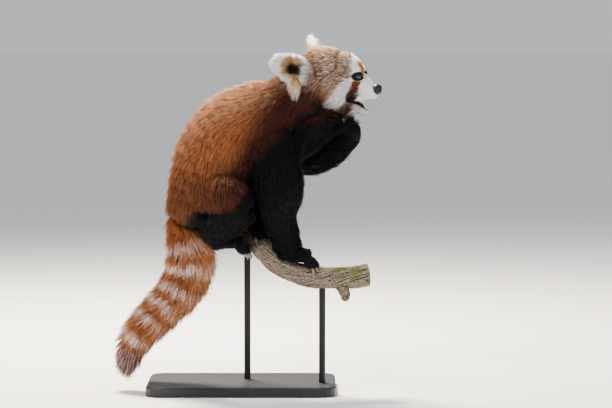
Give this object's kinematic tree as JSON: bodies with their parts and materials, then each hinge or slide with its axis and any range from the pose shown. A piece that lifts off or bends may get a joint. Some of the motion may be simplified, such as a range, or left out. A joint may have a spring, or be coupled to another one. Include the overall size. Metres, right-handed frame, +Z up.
{
  "type": "red panda model",
  "caption": "Life-size still model of a red panda that stands hunched on a cut branch with one forepaw raised to its chin, tail hanging, on a flat display stand.",
  "frame": {"origin": "middle of the underside of the stand's base", "axes": "+X the way the animal faces, +Y its left side, +Z up"},
  "size_m": [0.4972, 0.24, 0.6618],
  "materials": {
    "rust_fur": "golden rust coat of soft overlapping locks",
    "dark_fur": "near-black coat of the legs and paws",
    "tail_fur": "rust coat ringed with paler bands",
    "face_fur": "short pale and grizzled coat of the face",
    "ear_fur": "cream fringe round a dark cup",
    "eye": "wet, near black",
    "nose_skin": "moist, finely pebbled",
    "bark": "weathered, furrowed",
    "base_paint": "board painted matt dark grey",
    "rod_paint": "satin dark grey"
  },
  "bodies": {
    "root": {"head": "face_fur", "lower_jaw": "face_fur", "nose": "nose_skin", "eye_right": "eye", "eye_left": "eye", "ear_right": "ear_fur", "ear_left": "ear_fur", "neck": "rust_fur", "torso": "rust_fur", "tail": "tail_fur", "foreleg_right": "dark_fur", "foreleg_left": "dark_fur", "hindleg_right": "dark_fur", "hindleg_left": "dark_fur", "forepaw_right": "dark_fur", "forepaw_left": "dark_fur", "hindpaw_right": "dark_fur", "hindpaw_left": "dark_fur", "perch_branch": "bark", "stand_base": "base_paint", "stand_rod_front": "rod_paint", "stand_rod_rear": "rod_paint"}
  },
  "joints": []
}
